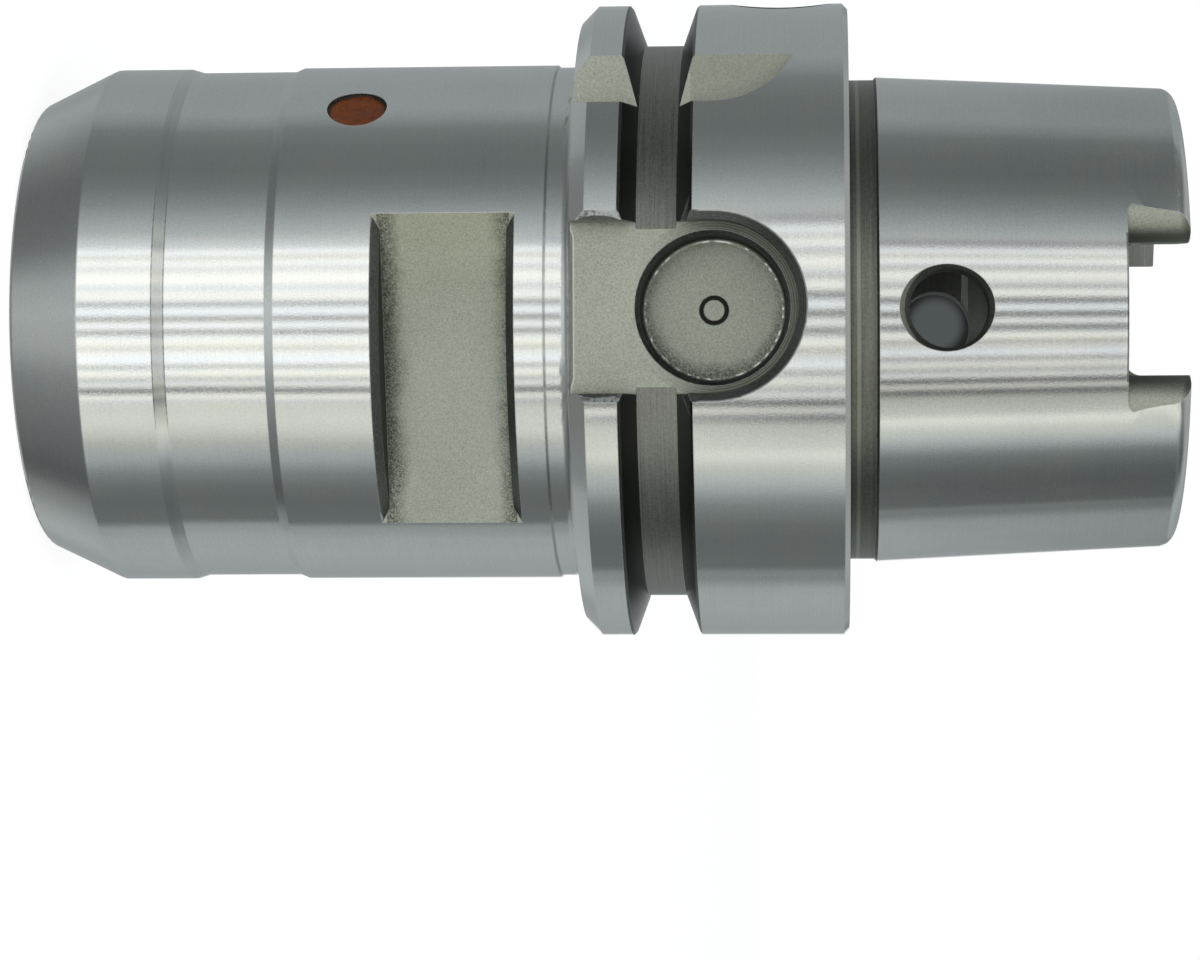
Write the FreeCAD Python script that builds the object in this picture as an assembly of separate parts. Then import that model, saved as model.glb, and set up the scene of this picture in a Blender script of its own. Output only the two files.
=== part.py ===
"""Hydraulic expansion chuck with a hollow 63 mm taper shank and a 20 mm tool bore.

The chuck stands on its nose: the nose face lies at height 0, the flange's contact face at
NOSE_LENGTH and the shank ends above it. The Z axis is the spindle axis. A bearing is an angle
round that axis: 0 degrees looks along -Y, where the first key slot is, and 90 degrees along -X.
All lengths are millimetres and all angles are degrees.
"""

import FreeCAD, Part
import math
import os

# Shank and flange
NOSE_LENGTH = 80.0
SHANK_LENGTH = 32.0
TAPER_DIA = 48.01
TAPER_GAUGE = 6.3
TAPER_RATE = 0.1
SHANK_ROUND = 1.4
RELIEF_DIA = 47.8
RELIEF_WIDTH = 2.8
FLANGE_DIA = 63.0
FLANGE_WIDTH = 26.0
FLANGE_FRONT_CHAMFER = 1.5
FLANGE_FACE_CHAMFER = 0.5
GRIP_DIA = 55.0
GRIP_PLACE = 18.0
GRIP_FLOOR = 3.75
GRIP_FLANK_ANGLE = 20.0
GRIP_EDGE = 0.25

# Hollow of the shank
HOLLOW_DIA = 34.0
HOLLOW_CHAMFER = 1.0
SHOULDER_PLACE = 18.13
SHOULDER_ANGLE = 30.0
CLAMP_GROOVE_DIA = 37.0
CLAMP_GROOVE_PLACE = 12.7
CLAMP_GROOVE_RUNOUT = 0.6
HOLLOW_LOWER_DIA = 34.6
HOLLOW_DEPTH = 8.0
COOLANT_THREAD_DIA = 18.0
COOLANT_THREAD_PITCH = 1.0
COOLANT_THREAD_LENGTH = 8.7
COOLANT_THREAD_LEAD = 0.6

# Slots and holes of the shank and flange
DRIVE_WIDTH = 12.54
DRIVE_DEPTH = 6.0
DRIVE_CORNER = 1.5
DRIVE_ROUND = 2.7
KEY_WIDTH = 16.0
FAR_KEY_WIDTH = 18.0
KEY_FLOOR = 26.5
KEY_END_PLACE = 12.75
KEY_CHAMFER = 0.9
NOTCH_FLOOR = 20.0
NOTCH_EDGE = 19.45
NOTCH_CUTTER_DIA = 17.0
NOTCH_END_PLACE = 12.9
CHIP_BEARING = 81.5
CHIP_DIA = 10.0
CHIP_DEPTH = 4.6
CHIP_PLACE = 6.6
ACCESS_DIA = 7.5
ACCESS_PLACE = 9.3
ACCESS_CHAMFER = 0.5
BALANCE_DIA = 13.8
BALANCE_DEPTH = 5.0
BALANCE_CHAMFER = 0.4
BALANCE_CORNER = 0.5
BALANCE_MARK_DIA = 2.4
BALANCE_MARK_WIDTH = 0.4
BALANCE_MARK_DEPTH = 0.25

# Front body
BODY_DIA = 51.45
NOSE_DIA = 44.6
NOSE_CONE = 7.2
NOSE_ROUND = 0.8
CONE_BLEND = 0.8
WAIST_DIA = 50.7
WAIST_START = 14.3
WAIST_END = 25.9
WAIST_ENTRY = 1.2
WAIST_EXIT = 0.9
NECK_DIA = 51.0
NECK_START = 51.3
NECK_STEP = 0.25
NECK_BLEND = 1.2
FLAT_BEARING = -15.0
FLAT_DISTANCE = 20.8
FLAT_START = 35.8
FLAT_WIDTH = 12.0
FLAT_CHAMFER = 0.8

# Tool bore and expansion sleeve
TOOL_DIA = 20.0
TOOL_DEPTH = 51.0
SLEEVE_DIA = 24.6
SLEEVE_LENGTH = 46.0
SLEEVE_SKIN = 1.4
SLEEVE_CHAMFER = 0.5
END_LAND = 5.0
MIDDLE_LAND = 4.0
LINK_SLOT_WIDTH = 3.0
LINK_SLOTS = 4

# Pressure bore with clamping screw and piston
PRESS_BEARING = -105.0
PRESS_OFFSET = 17.6
PRESS_HEIGHT = 30.5
SCREW_DIA = 8.0
SCREW_PITCH = 1.0
SCREW_TURNS = 5
SCREW_LENGTH = 9.0
SCREW_TOP = 13.0
SCREW_SOCKET = 4.0
SCREW_SOCKET_DEPTH = 4.5
SCREW_CHAMFER = 0.6
PISTON_DIA = 6.0
PISTON_REAR_LAND = 5.4
PISTON_FRONT_LAND = 0.8
PISTON_NECK_DIA = 3.8
PISTON_EDGE = 0.3
SEAL_WIDTH = 1.9
SEAL_ROUND = 0.4
BACKUP_WIDTH = 0.7
PRESS_END_ROOM = 3.2
SCREW_STOP_GAP = 0.2
PRESS_CHANNEL_DIA = 2.0

# Bleed hole
VENT_BEARING = 51.3
VENT_HEIGHT = 32.7
VENT_MOUTH_DIA = 5.8
VENT_MOUTH_DEPTH = 2.8
VENT_FILL = 2.2
VENT_SCREW_DIA = 5.0
VENT_SCREW_LENGTH = 4.5
VENT_SCREW_CHAMFER = 0.4
VENT_SOCKET = 2.5
VENT_SOCKET_DEPTH = 2.2
VENT_BALL_DIA = 3.0
VENT_CHANNEL_DIA = 1.5

# Length screw
STOP_DIA = 16.0
STOP_LENGTH = 12.0
STOP_SOCKET = 8.0
STOP_SOCKET_DEPTH = 6.0
STOP_COOLANT_DIA = 5.0
STOP_CHAMFER = 0.8
STOP_SEAL_PLACE = 1.4
STOP_SEAL_WIDTH = 1.6
STOP_SEAL_DEPTH = 1.1

# Clearances, on the radius
SCREW_CLEARANCE = 0.05
PISTON_CLEARANCE = 0.03
SEAL_CLEARANCE = 0.02

# How far a cutter runs past the metal
PAST = 3.0

TOP = NOSE_LENGTH + SHANK_LENGTH
AXIS = FreeCAD.Vector(0, 0, 1)
ORIGIN = FreeCAD.Vector(0, 0, 0)
FLANGE_START = NOSE_LENGTH - FLANGE_WIDTH
HOLLOW_FLOOR = NOSE_LENGTH - HOLLOW_DEPTH
STOP_BORE_END = HOLLOW_FLOOR - COOLANT_THREAD_LENGTH
BODY_RADIUS = BODY_DIA / 2
FLANGE_RADIUS = FLANGE_DIA / 2

# Places along the pressure bore, counted from its nearest point to the spindle axis
SCREW_BOTTOM = SCREW_TOP - SCREW_LENGTH
SCREW_TRAVEL = SCREW_TURNS * SCREW_PITCH
SEAL_START = SCREW_BOTTOM - PISTON_REAR_LAND - BACKUP_WIDTH - SEAL_WIDTH
PISTON_BOTTOM = SEAL_START - PISTON_FRONT_LAND
PRESS_SHOULDER = SCREW_BOTTOM - SCREW_TRAVEL - SCREW_STOP_GAP
PRESS_BORE_END = PISTON_BOTTOM - SCREW_TRAVEL - PRESS_END_ROOM
PRESS_MOUTH_BEARING = PRESS_BEARING - 90

# Places along the bleed hole, counted from the spindle axis
VENT_SCREW_TOP = BODY_RADIUS - VENT_MOUTH_DEPTH
VENT_BALL_PLACE = VENT_SCREW_TOP - VENT_SCREW_LENGTH - VENT_BALL_DIA / 2
VENT_SEAT_POINT = VENT_BALL_PLACE - VENT_BALL_DIA / 2 * math.sqrt(2)

# Place of the length screw's sealing ring
STOP_SEAL_START = TOOL_DEPTH + STOP_LENGTH - STOP_SEAL_PLACE - STOP_SEAL_WIDTH


def radial(bearing):
    """Unit vector away from the spindle axis at a bearing."""
    turn = math.radians(bearing)
    return FreeCAD.Vector(-math.sin(turn), -math.cos(turn), 0)


def rounded_outline(corners):
    """A closed wire through corners (point, rounding), with an arc at each rounded one."""
    count = len(corners)
    arcs = []
    starts = []
    ends = []
    for index, (point, rounding) in enumerate(corners):
        before = (corners[index - 1][0] - point).normalize()
        after = (corners[(index + 1) % count][0] - point).normalize()
        half = before.getAngle(after) / 2
        reach = rounding / math.tan(half)
        starts.append(point + before * reach)
        ends.append(point + after * reach)
        crown = (before + after).normalize() * (rounding / math.sin(half) - rounding)
        if rounding > 0:
            arcs.append(Part.Arc(starts[index], point + crown, ends[index]).toShape())
        else:
            arcs.append(None)
    edges = []
    for index in range(count):
        if arcs[index]:
            edges.append(arcs[index])
        edges.append(Part.LineSegment(ends[index], starts[(index + 1) % count]).toShape())
    return Part.Wire(edges)


def turned(section):
    """A solid turned about the spindle axis from (radius, height) or (radius, height, rounding)."""
    corners = []
    for corner in section:
        rounding = corner[2] if len(corner) == 3 else 0
        corners.append((FreeCAD.Vector(corner[0], 0, corner[1]), rounding))
    face = Part.Face(rounded_outline(corners))
    return face.revolve(ORIGIN, AXIS, 360)


def bar(diameter, length, base, direction):
    """A round bar or drill."""
    return Part.makeCylinder(diameter / 2, length, base, direction)


def hexagon(across_flats, length):
    """A hexagon bar along +Z from the origin."""
    reach = across_flats / 2 / math.cos(math.radians(30))
    corners = []
    for step in range(7):
        turn = math.radians(60 * step)
        corners.append(FreeCAD.Vector(reach * math.cos(turn), reach * math.sin(turn), 0))
    return Part.Face(Part.makePolygon(corners)).extrude(AXIS * length)


def side_frame(bearing, distance, height):
    """A frame on a side of the chuck: its Z points outwards, its Y along the spindle axis."""
    out = radial(bearing)
    across = AXIS.cross(out)
    turn = FreeCAD.Rotation(across, AXIS, out, "ZXY")
    return FreeCAD.Placement(out * distance + AXIS * height, turn)


def in_frame(solid, frame):
    """A solid made at the origin, carried into a frame."""
    copy = solid.copy()
    copy.Placement = frame.multiply(copy.Placement)
    return copy


PRESS_FRAME = FreeCAD.Placement(
    radial(PRESS_BEARING) * PRESS_OFFSET + AXIS * PRESS_HEIGHT,
    FreeCAD.Rotation(AXIS, radial(PRESS_MOUTH_BEARING)),
)


def taper_radius(height):
    """Radius of the shank's taper at a height."""
    gauge = NOSE_LENGTH + TAPER_GAUGE
    return TAPER_DIA / 2 - (height - gauge) * TAPER_RATE / 2


def outer_body():
    """The turned outside, from the nose to the end of the shank."""
    flange_face = NOSE_LENGTH
    taper_start = NOSE_LENGTH + RELIEF_WIDTH
    relief_step = taper_radius(taper_start) - RELIEF_DIA / 2
    nose_radius = NOSE_DIA / 2
    waist_radius = WAIST_DIA / 2
    neck_radius = NECK_DIA / 2
    section = [
        (0, 0),
        (nose_radius, 0, NOSE_ROUND),
        (BODY_RADIUS, NOSE_CONE, CONE_BLEND),
        (BODY_RADIUS, WAIST_START),
        (waist_radius, WAIST_START + WAIST_ENTRY),
        (waist_radius, WAIST_END - WAIST_EXIT),
        (BODY_RADIUS, WAIST_END),
        (BODY_RADIUS, NECK_START),
        (neck_radius, NECK_START + NECK_STEP),
        (neck_radius, FLANGE_START, NECK_BLEND),
        (FLANGE_RADIUS - FLANGE_FRONT_CHAMFER, FLANGE_START),
        (FLANGE_RADIUS, FLANGE_START + FLANGE_FRONT_CHAMFER),
        (FLANGE_RADIUS, flange_face - FLANGE_FACE_CHAMFER),
        (FLANGE_RADIUS - FLANGE_FACE_CHAMFER, flange_face),
        (RELIEF_DIA / 2, flange_face),
        (RELIEF_DIA / 2, taper_start - relief_step),
        (taper_radius(taper_start), taper_start),
        (taper_radius(TOP), TOP, SHANK_ROUND),
        (0, TOP),
    ]
    return turned(section)


def grip_groove():
    """The ring cut for the tool changer's gripper, with a small bevel at both edges."""
    centre = NOSE_LENGTH - GRIP_PLACE
    floor = GRIP_DIA / 2
    half = GRIP_FLOOR / 2
    bevel_start = FLANGE_RADIUS - GRIP_EDGE
    mouth = half + (bevel_start - floor) * math.tan(math.radians(GRIP_FLANK_ANGLE))
    outside = FLANGE_RADIUS + PAST
    flare = mouth + outside - bevel_start
    section = [
        (floor, centre - half),
        (bevel_start, centre - mouth),
        (outside, centre - flare),
        (outside, centre + flare),
        (bevel_start, centre + mouth),
        (floor, centre + half),
    ]
    return turned(section)


def shank_hollow():
    """The hollow of the shank with its clamping shoulder, and the thread for a coolant tube."""
    mouth = HOLLOW_DIA / 2
    groove = CLAMP_GROOVE_DIA / 2
    lower = HOLLOW_LOWER_DIA / 2
    shoulder = NOSE_LENGTH + SHOULDER_PLACE
    shoulder_run = (groove - mouth) / math.tan(math.radians(SHOULDER_ANGLE))
    groove_end = NOSE_LENGTH + CLAMP_GROOVE_PLACE
    thread = (COOLANT_THREAD_DIA - COOLANT_THREAD_PITCH) / 2
    section = [
        (0, TOP + PAST),
        (mouth + HOLLOW_CHAMFER + PAST, TOP + PAST),
        (mouth, TOP - HOLLOW_CHAMFER),
        (mouth, shoulder),
        (groove, shoulder - shoulder_run),
        (groove, groove_end),
        (lower, groove_end - CLAMP_GROOVE_RUNOUT),
        (lower, HOLLOW_FLOOR),
        (thread + COOLANT_THREAD_LEAD, HOLLOW_FLOOR),
        (thread, HOLLOW_FLOOR - COOLANT_THREAD_LEAD),
        (thread, STOP_BORE_END),
        (0, STOP_BORE_END),
    ]
    return turned(section)


def tool_side_bore():
    """The seat of the expansion sleeve, the tool bore behind it and the length screw's thread."""
    seat = SLEEVE_DIA / 2
    tool = TOOL_DIA / 2
    stop = STOP_DIA / 2
    section = [
        (0, -PAST),
        (seat, -PAST),
        (seat, SLEEVE_LENGTH),
        (tool, SLEEVE_LENGTH),
        (tool, TOOL_DEPTH),
        (stop, TOOL_DEPTH),
        (stop, STOP_BORE_END + PAST),
        (0, STOP_BORE_END + PAST),
    ]
    return turned(section)


def slot_cutter(width, floor, start_height, end_height, bearing, sideways=0.0):
    """An end mill's path along the spindle axis, from start_height to its round end."""
    reach = FLANGE_RADIUS + PAST - floor
    length = end_height - start_height
    path = Part.makeBox(width, length, reach, FreeCAD.Vector(sideways - width / 2, -length, 0))
    end = bar(width, reach, FreeCAD.Vector(sideways, 0, 0), AXIS)
    return in_frame(path.fuse(end), side_frame(bearing, floor, end_height))


def key_edges(slotted, bearing):
    """The edges of a slotted round blank that lie on its round side, above the slot's floor."""
    found = []
    for edge in slotted.Edges:
        points = edge.discretize(5)
        on_side = all(abs(math.hypot(p.x, p.y) - FLANGE_RADIUS) < 1e-4 for p in points)
        on_slot = all(p.dot(radial(bearing)) > KEY_FLOOR for p in points)
        level = all(abs(p.z - points[0].z) < 1e-6 for p in points)
        if on_side and on_slot and not level:
            found.append(edge)
    return found


def key_bevel(width):
    """The bevel of a key slot's edges, at most half of the slot's lowest wall."""
    wall = math.sqrt(FLANGE_RADIUS ** 2 - (width / 2) ** 2) - KEY_FLOOR
    return min(KEY_CHAMFER, wall / 2)


def key_cut(width, bearing):
    """What a key slot and the bevel along its edges take out of the flange."""
    start_height = FLANGE_START - PAST
    end_height = NOSE_LENGTH - KEY_END_PLACE
    slot = slot_cutter(width, KEY_FLOOR, start_height, end_height, bearing)
    blank = bar(FLANGE_DIA, FLANGE_WIDTH + PAST, AXIS * start_height, AXIS)
    slotted = blank.cut(slot)
    bevelled = slotted.makeChamfer(key_bevel(width), key_edges(slotted, bearing))
    return blank.cut(bevelled)


def notch_cut():
    """The orientation notch between the first key slot and the data-chip hole."""
    sideways = -(NOTCH_EDGE + NOTCH_CUTTER_DIA / 2)
    end_height = NOSE_LENGTH - NOTCH_END_PLACE
    start_height = FLANGE_START - PAST
    return slot_cutter(NOTCH_CUTTER_DIA, NOTCH_FLOOR, start_height, end_height, 0.0, sideways)


def chip_hole():
    """The blind hole for a data chip, in the flange between the key slots."""
    frame = side_frame(CHIP_BEARING, FLANGE_RADIUS - CHIP_DEPTH, NOSE_LENGTH - CHIP_PLACE)
    return in_frame(bar(CHIP_DIA, CHIP_DEPTH + PAST, ORIGIN, AXIS), frame)


def balance_hole():
    """The flat-bottomed balance hole in the first key slot's floor, with the cutter's ring mark."""
    radius = BALANCE_DIA / 2
    mark_inner = BALANCE_MARK_DIA / 2 - BALANCE_MARK_WIDTH / 2
    mark_outer = mark_inner + BALANCE_MARK_WIDTH
    mark_floor = -BALANCE_DEPTH - BALANCE_MARK_DEPTH
    section = [
        (0, PAST),
        (radius + BALANCE_CHAMFER + PAST, PAST),
        (radius, -BALANCE_CHAMFER),
        (radius, -BALANCE_DEPTH, BALANCE_CORNER),
        (mark_outer, -BALANCE_DEPTH),
        (mark_outer, mark_floor),
        (mark_inner, mark_floor),
        (mark_inner, -BALANCE_DEPTH),
        (0, -BALANCE_DEPTH),
    ]
    return in_frame(turned(section), side_frame(0.0, KEY_FLOOR, NOSE_LENGTH - KEY_END_PLACE))


def access_hole(bearing):
    """A radial hole through the shank's wall, with its bevelled mouth."""
    height = NOSE_LENGTH + ACCESS_PLACE
    surface = taper_radius(height)
    mouth = ACCESS_DIA / 2 + ACCESS_CHAMFER
    sag = surface - math.sqrt(surface ** 2 - mouth ** 2)
    drill = bar(ACCESS_DIA, surface + PAST, ORIGIN, AXIS)
    bevel_start = surface - ACCESS_CHAMFER - sag / 2
    bevel_length = ACCESS_CHAMFER + PAST
    bevel_end = ACCESS_DIA / 2 + bevel_length
    bevel = Part.makeCone(ACCESS_DIA / 2, bevel_end, bevel_length, AXIS * bevel_start, AXIS)
    return in_frame(drill.fuse(bevel), side_frame(bearing, 0, height))


def drive_outline(half_width, length):
    """The face of a drive slot seen along its depth, with rounded corners at its bottom."""
    corners = [
        (FreeCAD.Vector(-half_width, 0, 0), DRIVE_CORNER),
        (FreeCAD.Vector(half_width, 0, 0), DRIVE_CORNER),
        (FreeCAD.Vector(half_width, length, 0), 0),
        (FreeCAD.Vector(-half_width, length, 0), 0),
    ]
    return Part.Face(rounded_outline(corners))


def drive_flare(bearing):
    """The cutter that rounds the outer edges of one drive slot."""
    half = DRIVE_WIDTH / 2
    surface = taper_radius(TOP - DRIVE_DEPTH)
    centre_across = half + DRIVE_ROUND
    reach = surface - DRIVE_ROUND
    centre_out = math.sqrt(reach ** 2 - centre_across ** 2)
    touch_across = centre_across * surface / reach
    touch_out = centre_out * surface / reach
    bisector = math.atan2(centre_out, centre_across)
    turn = (math.pi + bisector) / 2
    middle_across = centre_across + DRIVE_ROUND * math.cos(turn)
    middle_out = centre_out + DRIVE_ROUND * math.sin(turn)
    outside = surface + PAST
    length = DRIVE_DEPTH + PAST
    prisms = []
    for side in (-1, 1):
        foot = FreeCAD.Vector(side * half, 0, centre_out)
        middle = FreeCAD.Vector(side * middle_across, 0, middle_out)
        touch = FreeCAD.Vector(side * touch_across, 0, touch_out)
        corner = FreeCAD.Vector(side * touch_across, 0, outside)
        inner_corner = FreeCAD.Vector(0, 0, outside)
        inner_foot = FreeCAD.Vector(0, 0, centre_out)
        edges = [Part.Arc(foot, middle, touch).toShape()]
        path = [touch, corner, inner_corner, inner_foot, foot]
        for start, end in zip(path, path[1:]):
            edges.append(Part.LineSegment(start, end).toShape())
        prisms.append(Part.Face(Part.Wire(edges)).extrude(FreeCAD.Vector(0, length, 0)))
    outline = drive_outline(touch_across, length).extrude(AXIS * outside)
    flare = prisms[0].fuse(prisms[1]).common(outline)
    return in_frame(flare, side_frame(bearing, 0, TOP - DRIVE_DEPTH))


def drive_slot(bearing):
    """One of the two drive slots across the shank's open end."""
    reach = taper_radius(TOP - DRIVE_DEPTH) + PAST
    outline = drive_outline(DRIVE_WIDTH / 2, DRIVE_DEPTH + PAST)
    slot = in_frame(outline.extrude(AXIS * reach), side_frame(bearing, 0, TOP - DRIVE_DEPTH))
    return slot.fuse(drive_flare(bearing))


def flat_pocket(bearing):
    """A wrench flat: a straight milled slot with bevels where its walls meet the round body."""
    reach = BODY_RADIUS + PAST
    end = FLAT_START + FLAT_WIDTH
    inner = BODY_RADIUS - FLAT_CHAMFER
    flare = FLAT_CHAMFER + PAST
    ring = turned([
        (inner, FLAT_START),
        (reach, FLAT_START - flare),
        (reach, end + flare),
        (inner, end),
    ])
    beyond = FreeCAD.Vector(-reach, -flare, 0)
    side = Part.makeBox(2 * reach, FLAT_WIDTH + 2 * flare, reach, beyond)
    slab = Part.makeBox(2 * reach, FLAT_WIDTH, reach, FreeCAD.Vector(-reach, 0, 0))
    frame = side_frame(bearing, FLAT_DISTANCE, FLAT_START)
    return in_frame(slab, frame).fuse(ring.common(in_frame(side, frame)))


def vent_cut():
    """The bleed hole: mouth, thread, ball seat and the channel to the rear oil chamber."""
    thread = VENT_SCREW_DIA / 2
    channel = VENT_CHANNEL_DIA / 2
    section = [
        (0, SLEEVE_DIA / 2 - PAST),
        (channel, SLEEVE_DIA / 2 - PAST),
        (channel, VENT_SEAT_POINT + channel),
        (thread, VENT_SEAT_POINT + thread),
        (thread, VENT_SCREW_TOP),
        (VENT_MOUTH_DIA / 2, VENT_SCREW_TOP),
        (VENT_MOUTH_DIA / 2, BODY_RADIUS + PAST),
        (0, BODY_RADIUS + PAST),
    ]
    return in_frame(turned(section), side_frame(VENT_BEARING, 0, VENT_HEIGHT))


def press_cut():
    """The pressure bore beside the sleeve, its thread and the channel to the rear chamber."""
    piston = PISTON_DIA / 2
    thread = SCREW_DIA / 2
    mouth = BODY_RADIUS + PAST
    section = [
        (0, PRESS_BORE_END),
        (piston, PRESS_BORE_END),
        (piston, PRESS_SHOULDER),
        (thread, PRESS_SHOULDER),
        (thread, mouth),
        (0, mouth),
    ]
    bore = in_frame(turned(section), PRESS_FRAME)
    channel_run = PRESS_BORE_END + PRESS_CHANNEL_DIA / 2
    meeting = radial(PRESS_BEARING) * PRESS_OFFSET + radial(PRESS_MOUTH_BEARING) * channel_run
    height = AXIS * PRESS_HEIGHT
    channel = bar(PRESS_CHANNEL_DIA, meeting.Length, height, meeting)
    return bore.fuse(channel)


def chuck_body():
    """The one-piece steel body."""
    body = outer_body().cut(grip_groove())
    cuts = [
        shank_hollow(),
        tool_side_bore(),
        key_cut(KEY_WIDTH, 0.0),
        key_cut(FAR_KEY_WIDTH, 180.0),
        notch_cut(),
        chip_hole(),
        balance_hole(),
        vent_cut(),
        press_cut(),
    ]
    for bearing in (0.0, 180.0):
        cuts.append(access_hole(bearing))
        cuts.append(drive_slot(bearing))
        cuts.append(flat_pocket(FLAT_BEARING + bearing))
    for cut in cuts:
        body = body.cut(cut)
    return body


def expansion_sleeve():
    """The thin sleeve that grips the tool, with its two oil chambers and the links between them."""
    seat = SLEEVE_DIA / 2
    tool = TOOL_DIA / 2
    skin = tool + SLEEVE_SKIN
    middle_start = (SLEEVE_LENGTH - MIDDLE_LAND) / 2
    middle_end = middle_start + MIDDLE_LAND
    sleeve = turned([
        (tool + SLEEVE_CHAMFER, 0),
        (seat, 0),
        (seat, END_LAND),
        (skin, END_LAND),
        (skin, middle_start),
        (seat, middle_start),
        (seat, middle_end),
        (skin, middle_end),
        (skin, SLEEVE_LENGTH - END_LAND),
        (seat, SLEEVE_LENGTH - END_LAND),
        (seat, SLEEVE_LENGTH),
        (tool, SLEEVE_LENGTH),
        (tool, SLEEVE_CHAMFER),
    ])
    corner = FreeCAD.Vector(-LINK_SLOT_WIDTH / 2, 0, 0)
    for index in range(LINK_SLOTS):
        link = Part.makeBox(LINK_SLOT_WIDTH, MIDDLE_LAND, seat, corner)
        frame = side_frame(360.0 / LINK_SLOTS * index, skin, middle_start)
        sleeve = sleeve.cut(in_frame(link, frame))
    return sleeve


def socket_screw(radius, length, chamfer, socket, socket_depth):
    """A headless screw along +Z with its hexagon socket at the upper end."""
    screw = turned([
        (0, 0),
        (radius - chamfer, 0),
        (radius, chamfer),
        (radius, length - chamfer),
        (radius - chamfer, length),
        (0, length),
    ])
    hexagon_cut = hexagon(socket, socket_depth)
    hexagon_cut.translate(AXIS * (length - socket_depth))
    return screw.cut(hexagon_cut)


def clamping_screw():
    """The screw that drives the piston, in its released place."""
    radius = SCREW_DIA / 2 - SCREW_CLEARANCE
    screw = socket_screw(radius, SCREW_LENGTH, SCREW_CHAMFER, SCREW_SOCKET, SCREW_SOCKET_DEPTH)
    screw.translate(AXIS * SCREW_BOTTOM)
    return in_frame(screw, PRESS_FRAME)


def piston():
    """The pressure piston with the neck that carries its seal."""
    radius = PISTON_DIA / 2 - PISTON_CLEARANCE
    neck = PISTON_NECK_DIA / 2
    section = [
        (0, PISTON_BOTTOM),
        (radius - PISTON_EDGE, PISTON_BOTTOM),
        (radius, PISTON_BOTTOM + PISTON_EDGE),
        (radius, SEAL_START),
        (neck, SEAL_START),
        (neck, SEAL_START + SEAL_WIDTH + BACKUP_WIDTH),
        (radius, SEAL_START + SEAL_WIDTH + BACKUP_WIDTH),
        (radius, SCREW_BOTTOM),
        (0, SCREW_BOTTOM),
    ]
    return in_frame(turned(section), PRESS_FRAME)


def neck_ring(start, width, rounding):
    """A ring on the piston's neck."""
    inner = PISTON_NECK_DIA / 2
    outer = PISTON_DIA / 2 - SEAL_CLEARANCE
    section = [
        (inner, start),
        (outer, start, rounding),
        (outer, start + width, rounding),
        (inner, start + width),
    ]
    return in_frame(turned(section), PRESS_FRAME)


def piston_seal():
    """The soft seal on the piston, on the oil's side of the neck."""
    return neck_ring(SEAL_START, SEAL_WIDTH, SEAL_ROUND)


def piston_backup_ring():
    """The hard ring that keeps the seal from creeping past the piston."""
    return neck_ring(SEAL_START + SEAL_WIDTH, BACKUP_WIDTH, 0)


def vent_screw():
    """The small socket screw that holds the bleed ball on its seat."""
    radius = VENT_SCREW_DIA / 2
    length = VENT_SCREW_LENGTH
    screw = socket_screw(radius, length, VENT_SCREW_CHAMFER, VENT_SOCKET, VENT_SOCKET_DEPTH)
    screw.translate(AXIS * (VENT_SCREW_TOP - length))
    return in_frame(screw, side_frame(VENT_BEARING, 0, VENT_HEIGHT))


def vent_ball():
    """The steel ball that closes the bleed channel."""
    ball = Part.makeSphere(VENT_BALL_DIA / 2)
    return in_frame(ball, side_frame(VENT_BEARING, VENT_BALL_PLACE, VENT_HEIGHT))


def vent_plug():
    """The coloured sealing compound over the vent screw, a little below the body's surface."""
    frame = side_frame(VENT_BEARING, VENT_SCREW_TOP, VENT_HEIGHT)
    return in_frame(bar(VENT_MOUTH_DIA, VENT_FILL, ORIGIN, AXIS), frame)


def length_screw():
    """The hollow stop screw behind the tool bore, in its rearmost place."""
    radius = STOP_DIA / 2 - SCREW_CLEARANCE
    screw = socket_screw(radius, STOP_LENGTH, STOP_CHAMFER, STOP_SOCKET, STOP_SOCKET_DEPTH)
    screw.translate(AXIS * TOOL_DEPTH)
    coolant = bar(STOP_COOLANT_DIA, STOP_LENGTH, AXIS * TOOL_DEPTH, AXIS)
    groove = turned([
        (radius - STOP_SEAL_DEPTH, STOP_SEAL_START),
        (radius + PAST, STOP_SEAL_START),
        (radius + PAST, STOP_SEAL_START + STOP_SEAL_WIDTH),
        (radius - STOP_SEAL_DEPTH, STOP_SEAL_START + STOP_SEAL_WIDTH),
    ])
    return screw.cut(coolant).cut(groove)


def length_screw_seal():
    """The sealing ring in the length screw's groove."""
    inner = STOP_DIA / 2 - SCREW_CLEARANCE - STOP_SEAL_DEPTH
    outer = STOP_DIA / 2 - SEAL_CLEARANCE
    return turned([
        (inner, STOP_SEAL_START),
        (outer, STOP_SEAL_START, SEAL_ROUND),
        (outer, STOP_SEAL_START + STOP_SEAL_WIDTH, SEAL_ROUND),
        (inner, STOP_SEAL_START + STOP_SEAL_WIDTH),
    ])


PIECES = [
    chuck_body,
    expansion_sleeve,
    clamping_screw,
    piston,
    piston_seal,
    piston_backup_ring,
    vent_screw,
    vent_ball,
    vent_plug,
    length_screw,
    length_screw_seal,
]

os.makedirs("parts", exist_ok=True)
for piece in PIECES:
    piece().exportStep("parts/" + piece.__name__ + ".step")
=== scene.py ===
"""The looks of the hydraulic chuck: its steel, black screws, sealing plug, light and camera.

The chuck's body and plug are dressed copies that stand for their CAD nodes, with real threads
in the two bores that show one. Lengths named in millimetres are turned into metres by MM.
"""
import math

import bmesh
import bpy
import numpy as np
from mathutils import Matrix, Vector


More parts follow.
